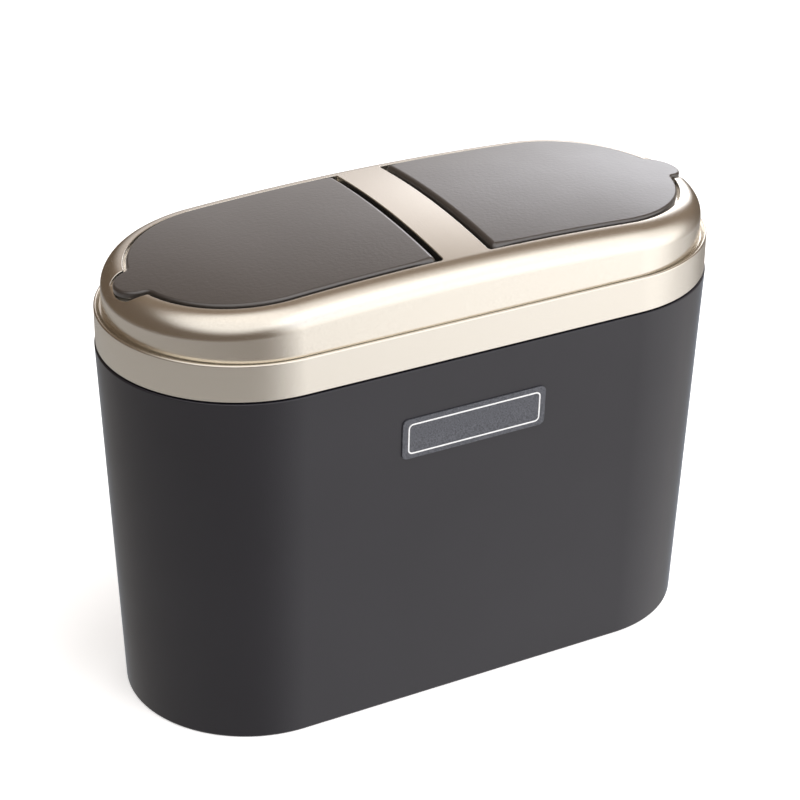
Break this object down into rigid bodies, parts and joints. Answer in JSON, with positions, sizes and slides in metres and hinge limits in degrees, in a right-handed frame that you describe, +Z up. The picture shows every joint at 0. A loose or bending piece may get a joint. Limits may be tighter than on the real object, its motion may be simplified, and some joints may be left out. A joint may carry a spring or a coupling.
{
  "type": "car trash bin",
  "caption": "Stadium-shaped car litter bin: tapered bucket, gold bag-clamping ring and crowned cover, with a hinged flap at each end that lifts by a finger tab.",
  "frame": {"origin": "centre of the base, on the standing rim's plane z = 0", "axes": "+Z up, +X along the bin, front with the badge at -Y"},
  "size_m": [0.205, 0.0894, 0.1526],
  "materials": {
    "body_plastic": "dark warm grey moulded plastic, satin",
    "gold_plastic": "champagne gold pearl lacquer on moulded plastic",
    "flap_plastic": "dark grey brown moulded plastic, smooth satin",
    "pin_steel": "bright drawn steel wire",
    "badge_metal": "dark anodised plate with a light border line"
  },
  "bodies": {
    "bin": {"bin_body": "body_plastic", "clamp_ring": "gold_plastic", "top_cover": "gold_plastic", "hinge_pin_left": "pin_steel", "hinge_pin_right": "pin_steel", "badge_plate": "badge_metal"},
    "left_flap": {"flap_left": "flap_plastic"},
    "right_flap": {"flap_right": "flap_plastic"}
  },
  "joints": [
    {"name": "left_flap_hinge", "type": "hinge", "parent": "bin", "child": "left_flap", "pos_m": [-0.0135, 0, 0.1483], "axis": [0, 1, 0], "range_deg": [0, 95]},
    {"name": "right_flap_hinge", "type": "hinge", "parent": "bin", "child": "right_flap", "pos_m": [0.0135, 0, 0.1483], "axis": [0, -1, 0], "range_deg": [0, 95]}
  ]
}
